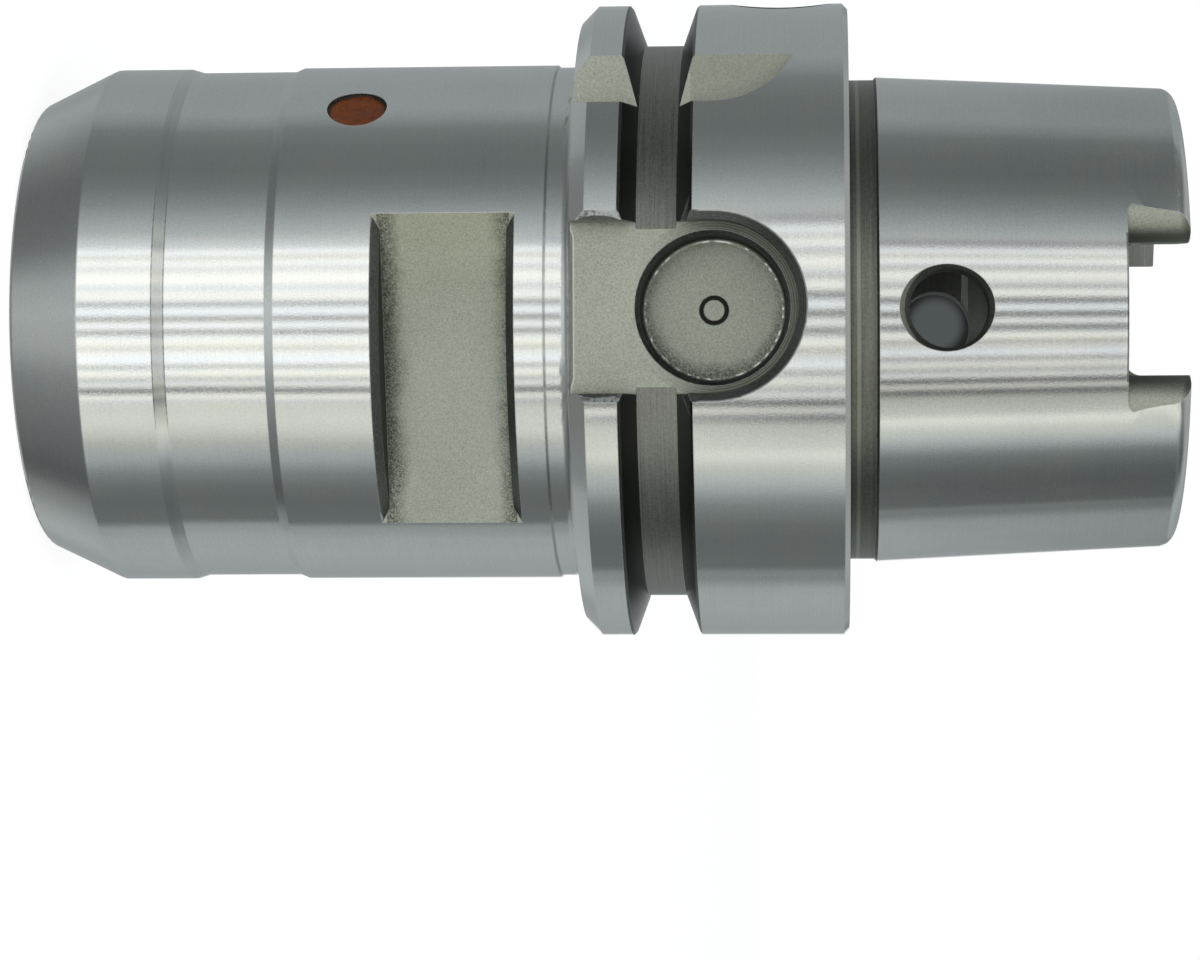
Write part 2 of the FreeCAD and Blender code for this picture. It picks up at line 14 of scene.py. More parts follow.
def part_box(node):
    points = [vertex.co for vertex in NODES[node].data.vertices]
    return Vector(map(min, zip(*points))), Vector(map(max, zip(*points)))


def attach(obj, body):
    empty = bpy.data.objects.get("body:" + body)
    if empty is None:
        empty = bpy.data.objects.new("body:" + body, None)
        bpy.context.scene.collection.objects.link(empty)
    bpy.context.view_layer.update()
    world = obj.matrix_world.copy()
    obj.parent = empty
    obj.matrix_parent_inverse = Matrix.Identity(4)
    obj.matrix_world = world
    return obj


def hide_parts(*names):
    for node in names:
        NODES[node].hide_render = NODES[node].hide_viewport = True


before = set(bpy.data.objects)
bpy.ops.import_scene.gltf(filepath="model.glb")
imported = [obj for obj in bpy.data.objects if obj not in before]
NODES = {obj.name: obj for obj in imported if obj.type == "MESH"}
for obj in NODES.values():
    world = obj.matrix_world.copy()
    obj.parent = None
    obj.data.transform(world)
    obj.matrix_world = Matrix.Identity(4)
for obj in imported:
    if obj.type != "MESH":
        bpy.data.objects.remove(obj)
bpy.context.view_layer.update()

MM = 0.001

# The body's turned outside, as the heights and radii of its corners. This and the sizes below
# it are the CAD model's, in millimetres.
SKIN = [
    (-1.0, 22.3), (0.0, 22.3), (7.2, 25.725), (14.3, 25.725), (15.5, 25.35), (25.0, 25.35),
    (25.9, 25.725), (51.3, 25.725), (51.55, 25.5), (54.0, 25.5), (54.001, 30.0), (55.5, 31.5),
    (79.5, 31.5), (80.0, 31.0), (80.001, 23.9), (82.5, 23.9), (82.8, 24.18), (110.6, 22.79),
    (112.0, 22.7),
]
BODY_RADIUS = 25.725
STEP_START = 14.3
STEP_END = 15.5
FLAT_MIDDLE = 41.8
FLAT_HALF = 6.0
FLANGE_FRONT = 54.0
FLANGE_REAR = 80.0
FLANGE_RADIUS = 31.5
KEY_CENTRE = 67.25
KEY_HALF = 8.0
KEY_FLOOR = 26.5
BALANCE_FLOOR = 21.5
BALANCE_RADIUS = 6.9
BALANCE_MOUTH = 7.3
MARK_RADIUS = 1.2
NOTCH_EDGE = 19.45
ACCESS_HEIGHT = 89.3
ACCESS_RADIUS = 3.75
ACCESS_MOUTH = 4.25
SLOT_END = 106.0
SHANK_END = 112.0
# The data chip's hole: its direction from the axis, its height and its radius
CHIP_OUT = (-0.98902, -0.14781)
CHIP_HEIGHT = 73.4
CHIP_RADIUS = 5.0
# The coolant tube's thread, which is cut into the wall of its bore
THREAD_RADIUS = 8.5
THREAD_ROOT = THREAD_RADIUS + 0.54
THREAD_START = 63.3
THREAD_END = 71.4
# The pressure bore: its middle, direction, distance from the axis and radius. Its thread stands
# out from its wall, and starts and ends at these places along it.
PRESS_BASE = Vector((17.0003, 4.5552, 30.5))
PRESS_OUT = Vector((-0.258819, 0.9659258, 0.0))
PRESS_OFFSET = 17.6
PRESS_RADIUS = 4.0
PRESS_CORE = PRESS_RADIUS - 0.52
PRESS_ROOT = PRESS_RADIUS - 0.03
PRESS_THREAD_START = 13.15
PRESS_THREAD_END = 21.5
# Both threads' pitch, and the steps in a turn of theirs
THREAD_PITCH = 1.0
THREAD_STEPS = 72


def added(name, data):
    """A new object in the scene."""
    made = bpy.data.objects.new(name, data)
    bpy.context.scene.collection.objects.link(made)
    return made


# ---- nodes -----------------------------------------------------------------------------------

class Graph:
    """Short calls that add nodes to one tree."""

    def __init__(self, tree):
        self.tree = tree
        tree.nodes.clear()

    def node(self, kind, **settings):
        made = self.tree.nodes.new(kind)
        for name, value in settings.items():
            setattr(made, name, value)
        return made

    def put(self, socket, value):
        if isinstance(value, bpy.types.NodeSocket):
            self.tree.links.new(value, socket)
        else:
            socket.default_value = value

    def math(self, operation, *values):
        made = self.node("ShaderNodeMath", operation=operation)
        for socket, value in zip(made.inputs, values):
            self.put(socket, value)
        return made.outputs[0]

    def fold(self, operation, first, others):
        for value in others:
            first = self.math(operation, first, value)
        return first

    def times(self, first, *others):
        return self.fold("MULTIPLY", first, others)

    def plus(self, first, *others):
        return self.fold("ADD", first, others)

    def most(self, first, *others):
        return self.fold("MAXIMUM", first, others)

    def minus(self, first, second):
        return self.math("SUBTRACT", first, second)

    def above(self, value, limit):
        return self.math("GREATER_THAN", value, limit)

    def below(self, value, limit):
        return self.math("LESS_THAN", value, limit)

    def away(self, value, middle):
        """How far a value lies from a middle."""
        return self.math("ABSOLUTE", self.minus(value, middle))

    def length(self, first, second):
        """The length of a flat vector."""
        return self.math("SQRT", self.plus(self.times(first, first), self.times(second, second)))

    def faded(self, value, amount):
        """1 where the amount is 0, and the value where it is 1."""
        return self.plus(1.0, self.times(amount, self.minus(value, 1.0)))

    def remap(self, value, low, high, to_low=0.0, to_high=1.0, kind="SMOOTHSTEP"):
        made = self.node("ShaderNodeMapRange", interpolation_type=kind, clamp=True)
        for socket, item in zip(made.inputs, (value, low, high, to_low, to_high)):
            self.put(socket, item)
        return made.outputs[0]

    def vector(self, operation, first, second):
        """A vector from two, the first one scaled by a number, or the dot product of two."""
        made = self.node("ShaderNodeVectorMath", operation=operation)
        self.put(made.inputs[0], first)
        self.put(made.inputs["Scale" if operation == "SCALE" else 1], second)
        return made.outputs["Value" if operation == "DOT_PRODUCT" else "Vector"]

    def join(self, x, y, z):
        made = self.node("ShaderNodeCombineXYZ")
        for socket, value in zip(made.inputs, (x, y, z)):
            self.put(socket, value)
        return made.outputs[0]

    def split(self, vector):
        """The three coordinates of a vector."""
        made = self.node("ShaderNodeSeparateXYZ")
        self.put(made.inputs[0], vector)
        return made.outputs

    def noise(self, vector, scale, detail=2.0, roughness=0.5):
        made = self.node("ShaderNodeTexNoise")
        self.put(made.inputs["Vector"], vector)
        made.inputs["Scale"].default_value = scale
        made.inputs["Detail"].default_value = detail
        made.inputs["Roughness"].default_value = roughness
        return made.outputs[0]

    def mix(self, factor, first, second):
        made = self.node("ShaderNodeMix", data_type="RGBA")
        self.put(made.inputs[0], factor)
        for socket, value in ((made.inputs[6], first), (made.inputs[7], second)):
            self.put(socket, value if isinstance(value, bpy.types.NodeSocket) else (*value, 1.0))
        return made.outputs[2]

    def ramp(self, factor, stops):
        made = self.node("ShaderNodeValToRGB")
        band = made.color_ramp
        for place, _ in stops[1:-1]:
            band.elements.new(place)
        for element, (place, value) in zip(band.elements, stops):
            element.position = place
            element.color = (value, value, value, 1.0)
        self.put(made.inputs[0], factor)
        return made.outputs[0]

    def bump(self, height, distance, normal=None):
        made = self.node("ShaderNodeBump")
        made.inputs["Distance"].default_value = distance
        self.put(made.inputs["Height"], height)
        if normal is not None:
            self.put(made.inputs["Normal"], normal)
        return made.outputs[0]

    def seen_by(self, *rays):
        """1 for the rays of the named outputs of Light Path, and 0 for the others."""
        path = self.node("ShaderNodeLightPath")
        return self.most(*(path.outputs[name] for name in rays))

    def output(self, kind, shader):
        self.put(self.node(kind).inputs["Surface"], shader.outputs[0])


def new_material(name):
    """A material, its graph, its shader, and the place of a shaded point in the object."""
    material = bpy.data.materials.new(name)
    material.use_nodes = True
    graph = Graph(material.node_tree)
    shader = graph.node("ShaderNodeBsdfPrincipled")
    graph.output("ShaderNodeOutputMaterial", shader)
    return material, graph, shader, graph.node("ShaderNodeTexCoord").outputs["Object"]


def metal(name, dark, light, rough, lines=0.0, line_width=0.12, grain=0.0, grain_width=0.2,
          spread=0.5, along=0.0, edge=0.0, edge_colour=(0.8, 0.8, 0.79), marks_and_painted_light=None, bare=1.0):
    """A bare or blackened metal. lines are turning or grinding marks round the spindle axis and
    grain is an even speckle: both are heights in micrometres, with widths in millimetres, and
    spread is the speckle's share of the colour. along is how much the finish stretches a gleam
    along the axis, and edge paints the corners bright over a width in millimetres, partly as
    abraded metal and partly as a painted highlight. marks_and_painted_light paints marks, painted
    shade and painted highlights over the colour, and bare is 0 where the surface is drawn as a
    dark non-metal, which on the deep walls is painted shade."""
    material, graph, shader, place = new_material(name)
    x, y, z = graph.split(place)
    # The marks are rings, by height on the turned outside and by radius on the flat ends
    round_stretch, radius_share = 2.2, 0.83
    across = graph.plus(z, graph.times(graph.length(x, y), radius_share))
    turn = graph.times(graph.math("ARCTAN2", x, y), round_stretch * line_width * MM)
    marks = graph.noise(graph.join(turn, 0.0, across), 1.0 / (line_width * MM), 3.0, 0.62)
    specks = graph.noise(place, 1.0 / (grain_width * MM), 3.0, 0.6)
    cloud_width, cloud_share = 7.0, 0.2
    clouds = graph.noise(place, 1.0 / (cloud_width * MM), 2.0, 0.5)
    tone = graph.plus(graph.times(marks, 1.0 - spread), graph.times(specks, spread))
    tone = graph.plus(graph.times(tone, 1.0 - cloud_share), graph.times(clouds, cloud_share))
    colour = graph.mix(graph.remap(tone, 0.32, 0.68, kind="LINEAR"), dark, light)
    # Marks, painted shade and painted highlights over the colour
    if marks_and_painted_light is not None:
        colour = marks_and_painted_light(graph, colour, place)
    shader.inputs["Metallic"].default_value = bare
    shader.inputs["Specular IOR Level"].default_value = 0.2 + 0.3 * bare
    height = graph.plus(graph.times(marks, lines), graph.times(specks, grain))
    normal = None
    if edge > 0.0:
        # The rounded normal's turn from the plain one, as a cosine, tells where a corner is
        rounded_corner = graph.node("ShaderNodeBevel", samples=2)
        rounded_corner.inputs["Radius"].default_value = edge * MM
        normal = rounded_corner.outputs[0]
        plain = graph.node("ShaderNodeNewGeometry").outputs["Normal"]
        # The corners turn bright: partly abraded metal, partly a painted highlight
        edge_wear_and_highlight = graph.remap(graph.vector("DOT_PRODUCT", normal, plain), 0.985, 0.86)
        edge_wear_and_highlight = graph.times(edge_wear_and_highlight, graph.remap(specks, 0.25, 0.55, 0.35, 1.0))
        colour = graph.mix(edge_wear_and_highlight, colour, edge_colour)
    graph.put(shader.inputs["Base Color"], colour)
    low, high = rough
    graph.put(shader.inputs["Roughness"], graph.remap(tone, 0.3, 0.7, low, high, "LINEAR"))
    graph.put(shader.inputs["Normal"], graph.bump(height, 0.001 * MM, normal))
    if along > 0.0:
        shader.inputs["Anisotropic"].default_value = along
        shader.inputs["Anisotropic Rotation"].default_value = 0.25
        tangent = graph.node("ShaderNodeTangent", direction_type="RADIAL", axis="Z")
        graph.put(shader.inputs["Tangent"], tangent.outputs[0])
    return material


def soft(name, dark, light, rough, width, height):
    """A rubber or plastic with an even speckle of a width and a height in millimetres."""
    material, graph, shader, place = new_material(name)
    specks = graph.noise(place, 1.0 / (width * MM), 3.0, 0.6)
    graph.put(shader.inputs["Base Color"], graph.mix(graph.remap(specks, 0.3, 0.7), dark, light))
    low, high = rough
    graph.put(shader.inputs["Roughness"], graph.remap(specks, 0.3, 0.7, low, high))
    graph.put(shader.inputs["Normal"], graph.bump(specks, height * MM))
    return material


def cut_rings(graph, across, width, low, high):
    """A tool's rings of a width in millimetres, as a number that goes from low to high."""
    wave = graph.math("SINE", graph.times(across, 2 * math.pi / (width * MM)))
    return graph.remap(wave, -1.0, 1.0, low, high, kind="LINEAR")


def milled_marks_and_shade(graph, colour, place):
    """The marks and painted light on the milled faces. The wrench flat runs from a warm to a cool
    grey. Speckled painted shade lies along the walls of the flat and of the key slot, in the
    notch, on the drive claws' inner sides and tips, and round the balance hole's floor, which has
    a dark ring mark and a bright painted highlight along its burred edge. The turned rings round
    that hole's mouth are drawn dark as painted shade that deepens towards the shank, and along the
    key slot's own edge lie painted shade and a painted highlight line."""
    x, y, z = graph.split(place)
    side = graph.math("ABSOLUTE", x)
    broken = graph.times(graph.noise(place, 300.0, 4.0, 0.68), 2.6 * MM)
    shade_speckle = graph.remap(graph.noise(place, 5200.0, 2.0, 0.7), 0.35, 0.62, 0.25, 1.0)
    outside = graph.below(y, (0.2 - KEY_FLOOR) * MM)

    # Painted shade along the wrench flat's two walls, with more at the lower one
    off_flat = graph.away(z, FLAT_MIDDLE * MM)
    lower = graph.times(graph.below(z, FLAT_MIDDLE * MM), 0.55 * MM)
    flat = graph.times(graph.remap(graph.plus(off_flat, lower, broken), 5.5 * MM, 7.5 * MM),
                       graph.below(off_flat, (FLAT_HALF + 0.3) * MM))

    # Painted shade along the key slot's walls
    edge = graph.remap(graph.plus(side, graph.times(broken, 0.45)),
                       (KEY_HALF + 0.1) * MM, (KEY_HALF + 1.1) * MM)
    key = graph.times(edge, graph.above(z, (FLANGE_FRONT - 1.0) * MM),
                      graph.below(z, (KEY_CENTRE + KEY_HALF + 0.75) * MM), outside)

    # The balance hole's floor with painted shade by its wall, its ring mark and a painted
    # highlight along its burred edge, and the turned rings round its mouth as painted shade
    up = graph.minus(z, KEY_CENTRE * MM)
    across = graph.length(x, up)
    deep = graph.times(graph.above(y, (-0.3 - BALANCE_FLOOR) * MM),
                       graph.below(across, (BALANCE_RADIUS + 0.05) * MM), graph.below(y, 0.0))
    ragged = graph.plus(across, graph.times(x, 0.10), graph.times(broken, 0.8))
    well = graph.times(graph.most(graph.remap(ragged, 5.6 * MM, 8.3 * MM), 0.22), deep)
    mark = graph.remap(graph.away(across, MARK_RADIUS * MM), 0.30 * MM, 0.18 * MM)
    burr_highlight = graph.remap(graph.away(across, 6.52 * MM), 0.11 * MM, 0.05 * MM)
    burr_highlight = graph.times(burr_highlight, deep, graph.remap(graph.noise(place, 1300.0, 2.0, 0.6), 0.50, 0.60))
    rounded = graph.times(graph.remap(across, (BALANCE_RADIUS + 0.05) * MM,
                                      (BALANCE_MOUTH + 0.1) * MM, 0.45, 0.95),
                          graph.remap(up, -7.0 * MM, 2.0 * MM),
                          cut_rings(graph, across, 0.26, 0.62, 1.0),
                          graph.below(across, (BALANCE_MOUTH + 1.0) * MM), outside)

    # Painted shade on the drive claws' inner sides and tips, and in the notch
    inner = graph.times(graph.remap(side, 7.9 * MM, 6.4 * MM, 0.0, 0.72),
                        graph.above(z, (SLOT_END - 0.2) * MM))
    tip = graph.times(graph.remap(z, (SHANK_END - 1.2) * MM, (SHANK_END - 0.3) * MM), 0.7)
    notch = graph.times(graph.below(x, (0.15 - NOTCH_EDGE) * MM), graph.above(z, 65.0 * MM), 0.24)

    # The wrench flat's own colour, and then all that is dark: painted shade, and the ring mark
    on_flat = graph.times(graph.below(z, (FLANGE_FRONT - 2.0) * MM), 0.75)
    shift = graph.remap(graph.plus(x, graph.times(broken, 2.0)), -9.0 * MM, 12.0 * MM)
    tint = graph.mix(shift, (0.93, 0.93, 0.84), (1.10, 1.13, 1.14))
    colour = graph.mix(on_flat, colour, graph.vector("MULTIPLY", colour, tint))
    wall_shade = graph.times(graph.most(flat, key, well), shade_speckle)
    amount = graph.most(wall_shade, notch, inner, tip, graph.times(mark, deep), rounded)
    colour = graph.mix(graph.times(amount, 0.86), colour, (0.055, 0.055, 0.042))

    # The key slot's mouth, whose edge bends at the slot's corners, with painted shade and a
    # painted highlight line along it
    mouth = graph.times(outside, graph.above(z, (FLANGE_FRONT - 0.1) * MM))
    bend = graph.remap(side, 6.4 * MM, 7.8 * MM, 0.30 * MM, 0.0)
    inward = graph.minus(graph.minus(z, FLANGE_FRONT * MM), bend)
    shade = graph.times(graph.remap(inward, 0.02 * MM, -0.03 * MM, 0.0, 0.62), mouth)
    colour = graph.mix(shade, colour, (0.10, 0.10, 0.09))
    line = graph.remap(graph.math("ABSOLUTE", inward), 0.10 * MM, 0.04 * MM)
    colour = graph.mix(graph.times(line, mouth, 0.6), colour, (0.72, 0.73, 0.70))
    # A painted highlight along the balance hole floor's burred edge
    return graph.mix(burr_highlight, colour, (0.78, 0.79, 0.74))


def bevel_rings_and_reflection(graph, colour, place):
    """A painted reflection over the key slot's bevels in the narrow collar, bright and ragged
    along their burred edge, with a dark arc left inside it, and fine turned rings round the slot's
    end with a painted highlight along its outer corner."""
    x, y, z = graph.split(place)
    radius = graph.length(x, y)
    specks = graph.noise(place, 1500.0, 3.0, 0.7)
    # A painted reflection, bright on the bevels' outer part and kept out of an arc in their middle
    middle = graph.math("DIVIDE", graph.minus(z, 56.8 * MM), 2.1 * MM)
    arc = graph.times(graph.minus(1.0, graph.times(middle, middle)), 0.42 * MM)
    level = graph.minus(graph.plus(radius, graph.times(specks, 0.3 * MM)), arc)
    burr_highlight = graph.times(graph.remap(level, 30.72 * MM, 30.84 * MM),
                       graph.remap(z, 59.9 * MM, 59.4 * MM),
                       graph.above(z, (FLANGE_FRONT - 1.0) * MM))
    bright = graph.mix(graph.remap(specks, 0.36, 0.56), (0.30, 0.305, 0.30), (0.86, 0.87, 0.87))
    slot_end = graph.remap(z, 65.6 * MM, 66.4 * MM)
    across = graph.length(x, graph.minus(z, KEY_CENTRE * MM))
    rings = graph.times(cut_rings(graph, across, 0.24, 0.0, 0.42), slot_end)
    colour = graph.mix(rings, colour, (0.07, 0.071, 0.062))
    # A painted highlight along the outer corner round the slot's end
    corner = graph.remap(radius, (FLANGE_RADIUS - 0.20) * MM, (FLANGE_RADIUS - 0.10) * MM)
    corner = graph.times(corner, slot_end, graph.remap(specks, 0.30, 0.46, 0.35, 1.0))
    colour = graph.mix(corner, colour, (0.80, 0.81, 0.79))
    return graph.mix(burr_highlight, colour, bright)


def ground_slot_shade(graph, colour, place):
    """Painted shade in the corner along the bottom of each drive slot."""
    x, _, z = graph.split(place)
    line = graph.times(graph.remap(z, (SLOT_END - 0.22) * MM, (SLOT_END - 0.10) * MM),
                       graph.below(graph.math("ABSOLUTE", x), 7.0 * MM),
                       graph.below(z, (SLOT_END + 0.05) * MM), 0.8)
    return graph.mix(line, colour, (0.08, 0.085, 0.085))


def relief_ring_and_shade(graph, colour, place):
    """A paler turned ring near the flange, and painted shade in the corners at both ends of the
    relief.
    """
    along = graph.minus(graph.split(place)[2], FLANGE_REAR * MM)
    ring = graph.remap(graph.away(along, 0.85 * MM), 0.24 * MM, 0.10 * MM, 0.0, 0.55)
    colour = graph.mix(ring, colour, (0.38, 0.39, 0.33))
    # Painted shade in the corners at both ends
    ends = graph.most(graph.remap(along, 0.45 * MM, 0.05 * MM, 0.0, 0.45),
                      graph.remap(along, 1.9 * MM, 2.7 * MM, 0.0, 0.5))
    return graph.mix(ends, colour, (0.045, 0.046, 0.04))


def slope_shade_and_patches(graph, colour, place):
    """Fine dark lines of painted shade at both borders of the first step, broken and fading away
    from the front, and warm patches between them."""
    x, _, z = graph.split(place)
    front = graph.remap(graph.math("ABSOLUTE", x), 8.0 * MM, 13.5 * MM, 1.0, 0.0)
    patches = graph.remap(graph.noise(place, 420.0, 2.0, 0.5), 0.42, 0.6)
    warm = graph.mix(patches, (0.56, 0.565, 0.60), (0.68, 0.69, 0.58))
    colour = graph.mix(graph.times(patches, 0.4, front), colour, warm)
    middle = (STEP_START + STEP_END) / 2
    # Painted shade along the step's two borders
    border = graph.remap(graph.away(z, middle * MM), 0.44 * MM, 0.54 * MM)
    shade_speckle = graph.remap(graph.noise(place, 2400.0, 2.0, 0.7), 0.35, 0.6, 0.4, 1.0)
    return graph.mix(graph.times(border, shade_speckle, front), colour, (0.27, 0.275, 0.28))


# The finishes of the body's faces. The groove's floor and flanks, the relief, the bevels, and
# the bored and deep walls are far darker than bare steel: that is painted shade.
MATERIALS = {
    "ground": metal("ground_steel", (0.53, 0.555, 0.575), (0.675, 0.685, 0.63), (0.10, 0.14),
                    lines=0.32, line_width=0.12, grain=2.8, grain_width=0.17, spread=0.7,
                    along=0.93, edge=0.14, marks_and_painted_light=ground_slot_shade),
    "slope": metal("turned_slope", (0.52, 0.54, 0.53), (0.655, 0.67, 0.655), (0.17, 0.22),
                   lines=1.2, line_width=0.15, grain=1.0, grain_width=0.2, spread=0.4, along=0.8,
                   marks_and_painted_light=slope_shade_and_patches),
    "face": metal("faced_steel", (0.50, 0.51, 0.51), (0.64, 0.65, 0.64), (0.22, 0.32),
                  lines=1.2, line_width=0.16, grain=0.3, grain_width=0.2, spread=0.3, edge=0.14),
    "flank": metal("turned_flank_painted_shade", (0.035, 0.036, 0.034), (0.09, 0.092, 0.085), (0.26, 0.36),
                   lines=2.0, line_width=0.16, grain=1.0, grain_width=0.25, spread=0.5, edge=0.12),
    "turned": metal("turned_steel_painted_shade", (0.13, 0.135, 0.122), (0.34, 0.35, 0.315), (0.30, 0.42),
                    lines=4.0, line_width=0.15, grain=1.6, grain_width=0.22, spread=0.45,
                    edge=0.12),
    "relief": metal("turned_relief_painted_shade", (0.09, 0.094, 0.078), (0.236, 0.247, 0.207), (0.30, 0.42),
                    lines=3.5, line_width=0.16, grain=1.6, grain_width=0.25, spread=0.5,
                    edge=0.10, marks_and_painted_light=relief_ring_and_shade),
    "hollow": metal("hollow_steel", (0.22, 0.23, 0.22), (0.38, 0.39, 0.37), (0.28, 0.38),
                    lines=1.6, line_width=0.2, grain=0.6, grain_width=0.3, spread=0.4, edge=0.12),
    "milled": metal("milled_steel", (0.265, 0.282, 0.238), (0.50, 0.525, 0.445), (0.44, 0.56),
                    grain=4.5, grain_width=0.15, spread=1.0, edge=0.10, marks_and_painted_light=milled_marks_and_shade),
    "bore": metal("bored_steel_painted_shade", (0.10, 0.105, 0.09), (0.19, 0.195, 0.17), (0.34, 0.44),
                  grain=1.2, grain_width=0.3, spread=0.9, edge=0.10,
                  edge_colour=(0.5, 0.5, 0.47)),
    "well": metal("deep_walls_painted_shade", (0.016, 0.017, 0.014), (0.05, 0.052, 0.044), (0.55, 0.7),
                  grain=1.2, grain_width=0.2, spread=0.9, edge=0.08,
                  edge_colour=(0.30, 0.30, 0.28), bare=0.0),
    "bevel": metal("bevelled_steel_painted_shade", (0.12, 0.125, 0.115), (0.26, 0.27, 0.25), (0.30, 0.44),
                   grain=3.0, grain_width=0.24, spread=0.9, edge=0.18,
                   edge_colour=(0.80, 0.81, 0.80), marks_and_painted_light=bevel_rings_and_reflection),
    "thread": metal("threaded_steel", (0.24, 0.24, 0.22), (0.42, 0.42, 0.39), (0.26, 0.36),
                    lines=0.8, grain=1.0, grain_width=0.2, spread=0.6, edge=0.06),
}
ZONES = list(MATERIALS)


# ---- the body --------------------------------------------------------------------------------

def polygon_values(mesh, name):
    """The vector of a name, such as center, for each polygon."""
    values = np.empty(len(mesh.polygons) * 3, np.float32)
    mesh.polygons.foreach_get(name, values)
    return values.reshape(-1, 3).astype(float)


def body_zones(mesh):
    """The finish of each polygon of the body, from where it is and which way it faces. Where
    two rules reach a polygon, the later one holds."""
    x, y, z = (polygon_values(mesh, "center") / MM).T
    normal = polygon_values(mesh, "normal")
    radius = np.hypot(x, y)
    outward = (normal[:, 0] * x + normal[:, 1] * y) / radius
    around = np.abs(normal[:, 1] * x - normal[:, 0] * y) / radius
    upward = normal[:, 2]
    level = np.abs(upward)
    heights, radii = np.array(SKIN).T
    on_skin = np.abs(radius - np.interp(z, heights, radii)) < 0.14
    turned = around < 0.06
    zone = np.full(len(z), ZONES.index("milled"))

    def paint(where, name):
        zone[where] = ZONES.index(name)

    # The bevels of the flange's slots, those of the wrench flats, and the flats' end walls
    slanting = (np.abs(normal[:, 0]) < 0.97) & (np.abs(normal[:, 1]) < 0.97)
    paint(slanting & (outward > 0.25) & (outward < 0.95) & (radius > 29) & (z > FLANGE_FRONT),
          "bevel")
    off_flat = np.abs(z - FLAT_MIDDLE)
    paint((np.abs(off_flat - FLAT_HALF - 0.4) < 0.55) & (level > 0.4) & (outward > 0.35), "bevel")
    paint((np.abs(off_flat - FLAT_HALF) < 0.05) & (level > 0.95), "well")

    # The balance hole's wall and chamfer, and the ring mark in its floor
    across = np.hypot(x, z - KEY_CENTRE)
    facing = -normal[:, 1]
    balance = (across < BALANCE_MOUTH + 0.1) & (y < 0.5 - BALANCE_FLOOR) & (y > -0.5 - KEY_FLOOR)
    paint(balance & (facing < 0.9), "well")
    paint(balance & (facing > 0.4) & (facing < 0.9), "bevel")
    paint((across < MARK_RADIUS + 0.35) & (y > 0.01 - BALANCE_FLOOR) & (y < -20), "well")

    # The shank's hollow and the bores behind it
    paint(turned & (radius < 18.8) & (z > 62), "hollow")
    paint(turned & (radius < 12.8) & (z < 63.5), "hollow")
    paint(turned & (outward < -0.2) & (z > 62) & (radius < 21.5), "hollow")

    # The ground outside with the shank's end rim, the first step, and the neck by the flange
    paint((z > SHANK_END - 1.5) & (radius > 20.5) & (around < 0.5) & (outward > 0.2), "ground")
    paint(turned & on_skin & (outward > 0.2), "ground")
    paint(turned & (z > STEP_START) & (z < STEP_END) & (radius > 25), "slope")
    paint((z > 51.2) & (z < FLANGE_FRONT) & (radius > 25.0) & (radius < 27.2) & (outward > 0.15),
          "ground")

    # The access holes and the data chip's hole
    access = np.hypot(x, z - ACCESS_HEIGHT)
    paint((access < ACCESS_RADIUS + 0.03) & (np.abs(y) > 15), "well")
    paint((access < ACCESS_MOUTH - 0.01) & (access > ACCESS_RADIUS + 0.03) & (np.abs(y) > 20)
          & (upward > -0.98), "bore")
    out = x * CHIP_OUT[0] + y * CHIP_OUT[1]
    chip = np.hypot(x * CHIP_OUT[1] - y * CHIP_OUT[0], z - CHIP_HEIGHT)
    paint((chip < CHIP_RADIUS - 0.03) & (out > 26), "bore")
    paint((chip < CHIP_RADIUS + 0.1) & (out > 26) & (outward < 0.5), "bore")

    # The gripper groove's floor and flanks, and the relief behind the flange
    groove = (z > 58.3) & (z < 65.7) & (radius > 27.3) & (radius < FLANGE_RADIUS - 0.02) & turned
    paint(groove & (level < 0.5), "turned")
    paint(groove & (level > 0.5), "flank")
    paint((z > 79.9) & (z < 82.85) & (radius < 24.22) & (radius > 23.5) & turned, "relief")

    # The end faces, and what is cut inside the body
    paint((z < 0.05) & (upward < -0.9), "face")
    paint((np.abs(z - FLANGE_FRONT) < 0.02) & (upward < -0.9), "face")
    paint((np.abs(z - FLANGE_REAR) < 0.02) & (upward > 0.9), "face")
    paint((z > SHANK_END - 0.4) & (upward > 0.8), "face")
    paint((radius < 20.2) & (z < 60) & ~turned & (zone == ZONES.index("milled")), "bore")
    return zone


def drop_faces(mesh, marked):
    """Takes the marked polygons out of a mesh, and what they leave loose."""
    work = bmesh.new()
    work.from_mesh(mesh)
    work.faces.ensure_lookup_table()
    bmesh.ops.delete(work, geom=[work.faces[i] for i in np.flatnonzero(marked)], context="FACES")
    work.to_mesh(mesh)
    work.free()


